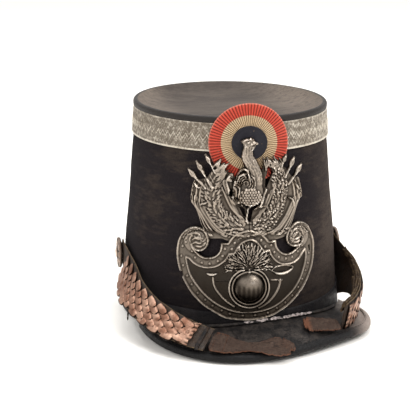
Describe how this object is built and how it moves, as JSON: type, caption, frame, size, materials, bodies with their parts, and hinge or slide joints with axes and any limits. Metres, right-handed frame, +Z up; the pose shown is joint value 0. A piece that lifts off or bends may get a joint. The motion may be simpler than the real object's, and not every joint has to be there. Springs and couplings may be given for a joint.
{
  "type": "shako hat",
  "caption": "Black felt shako with sunken leather crown, lace band, pleated cockade, pierced metal plate, wide peak and scaled chin straps.",
  "frame": {"origin": "middle of the hat's bounding box at the base rim's underside", "axes": "+Z up out of the crown, -Y towards the plate and the peak, +X to the right of someone who looks at the plate"},
  "size_m": [0.1932, 0.247, 0.1758],
  "materials": {
    "black_felt": "napped, worn, matt",
    "crown_leather": "worn, dry, faint sheen",
    "silver_lace": "woven metal thread, tarnished",
    "black_leather": "varnished, worn",
    "white_metal": "silvered copper sheet, tarnished",
    "painted_tin": "matt paint, dusty",
    "copper": "polished copper, tarnished",
    "brown_leather": "worn, dull"
  },
  "bodies": {
    "root": {"body_shell": "black_felt", "crown_rim": "crown_leather", "crown_top": "crown_leather", "galloon_band": "silver_lace", "base_band": "black_leather", "peak": "black_leather", "peak_binding": "black_leather", "peak_seam_welt": "black_leather", "front_plate": "white_metal", "cockade": "painted_tin", "strap_left": "brown_leather", "scales_left": "copper", "boss_left": "copper", "tie_left": "brown_leather", "strap_right": "brown_leather", "scales_right": "copper", "boss_right": "copper", "tie_right": "brown_leather", "strap_thong": "brown_leather"}
  },
  "joints": []
}
